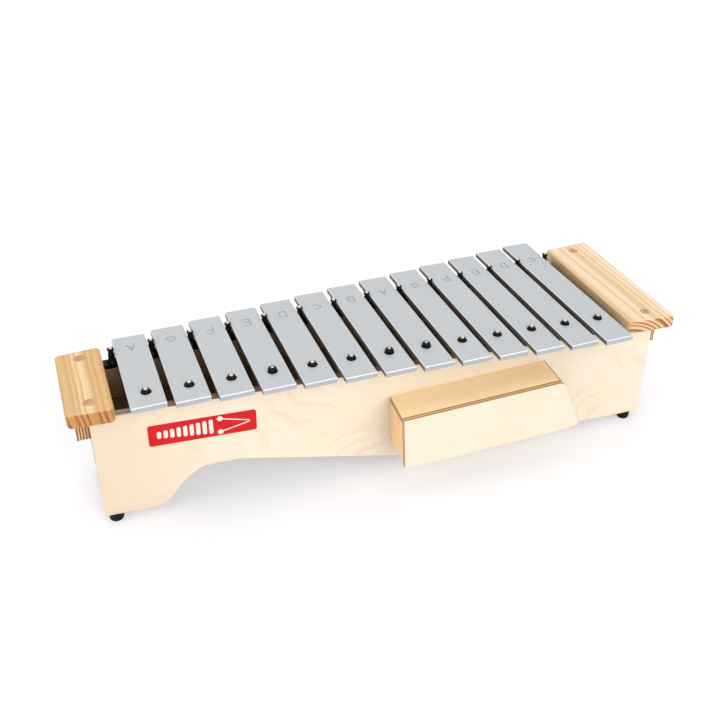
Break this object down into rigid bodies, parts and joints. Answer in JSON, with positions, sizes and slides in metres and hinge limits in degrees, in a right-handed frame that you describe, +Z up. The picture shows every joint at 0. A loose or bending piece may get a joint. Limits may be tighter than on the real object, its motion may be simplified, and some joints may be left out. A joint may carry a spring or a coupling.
{
  "type": "soprano metallophone",
  "caption": "Diatonic metal-bar instrument of the xylophone family: aluminium bars on pins over a tapered plywood resonator box with end blocks and a beater holder.",
  "frame": {"origin": "on the floor, under the middle of the whole object's box", "axes": "+X along the instrument towards the long bars, +Y away from the beater holder's side, +Z up"},
  "size_m": [0.582, 0.2252, 0.135],
  "materials": {
    "birch_ply": "clear satin lacquer",
    "holder_ply": "clear satin lacquer",
    "pine": "clear satin lacquer",
    "plug_wood": "clear satin lacquer",
    "bar_metal": "fine satin",
    "rubber": "matt",
    "pin_metal": "polished dome",
    "screw_steel": "zinc plated",
    "badge_red": "gloss"
  },
  "bodies": {
    "instrument": {"front_panel": "birch_ply", "rear_panel": "birch_ply", "end_board_left": "birch_ply", "end_board_right": "birch_ply", "resonator_floor": "birch_ply", "grip_rail_left": "birch_ply", "grip_rail_right": "birch_ply", "end_block_left": "pine", "end_block_right": "pine", "block_plugs": "plug_wood", "block_screws": "screw_steel", "rear_rubber_rail": "rubber", "rear_sleeves": "rubber", "front_sleeves": "rubber", "rear_pins": "pin_metal", "front_pins": "pin_metal", "beater_holder_top": "holder_ply", "beater_holder_front": "holder_ply", "beater_holder_end": "holder_ply", "beater_holder_floor": "holder_ply", "foot_front_left": "rubber", "foot_front_right": "rubber", "foot_rear_left": "rubber", "foot_rear_right": "rubber", "foot_screws": "screw_steel", "badge": "badge_red"},
    "bar_01": {"bar_01_a6": "bar_metal"},
    "bar_02": {"bar_02_g6": "bar_metal"},
    "bar_03": {"bar_03_f6": "bar_metal"},
    "bar_04": {"bar_04_e6": "bar_metal"},
    "bar_05": {"bar_05_d6": "bar_metal"},
    "bar_06": {"bar_06_c6": "bar_metal"},
    "bar_07": {"bar_07_b5": "bar_metal"},
    "bar_08": {"bar_08_a5": "bar_metal"},
    "bar_09": {"bar_09_g5": "bar_metal"},
    "bar_10": {"bar_10_f5": "bar_metal"},
    "bar_11": {"bar_11_e5": "bar_metal"},
    "bar_12": {"bar_12_d5": "bar_metal"},
    "bar_13": {"bar_13_c5": "bar_metal"}
  },
  "joints": [
    {"name": "bar_01_lift", "type": "slide", "parent": "instrument", "child": "bar_01", "axis": [0, 0, 1], "range_m": [0, 0.03]},
    {"name": "bar_02_lift", "type": "slide", "parent": "instrument", "child": "bar_02", "axis": [0, 0, 1], "range_m": [0, 0.03]},
    {"name": "bar_03_lift", "type": "slide", "parent": "instrument", "child": "bar_03", "axis": [0, 0, 1], "range_m": [0, 0.03]},
    {"name": "bar_04_lift", "type": "slide", "parent": "instrument", "child": "bar_04", "axis": [0, 0, 1], "range_m": [0, 0.03]},
    {"name": "bar_05_lift", "type": "slide", "parent": "instrument", "child": "bar_05", "axis": [0, 0, 1], "range_m": [0, 0.03]},
    {"name": "bar_06_lift", "type": "slide", "parent": "instrument", "child": "bar_06", "axis": [0, 0, 1], "range_m": [0, 0.03]},
    {"name": "bar_07_lift", "type": "slide", "parent": "instrument", "child": "bar_07", "axis": [0, 0, 1], "range_m": [0, 0.03]},
    {"name": "bar_08_lift", "type": "slide", "parent": "instrument", "child": "bar_08", "axis": [0, 0, 1], "range_m": [0, 0.03]},
    {"name": "bar_09_lift", "type": "slide", "parent": "instrument", "child": "bar_09", "axis": [0, 0, 1], "range_m": [0, 0.03]},
    {"name": "bar_10_lift", "type": "slide", "parent": "instrument", "child": "bar_10", "axis": [0, 0, 1], "range_m": [0, 0.03]},
    {"name": "bar_11_lift", "type": "slide", "parent": "instrument", "child": "bar_11", "axis": [0, 0, 1], "range_m": [0, 0.03]},
    {"name": "bar_12_lift", "type": "slide", "parent": "instrument", "child": "bar_12", "axis": [0, 0, 1], "range_m": [0, 0.03]},
    {"name": "bar_13_lift", "type": "slide", "parent": "instrument", "child": "bar_13", "axis": [0, 0, 1], "range_m": [0, 0.03]}
  ]
}
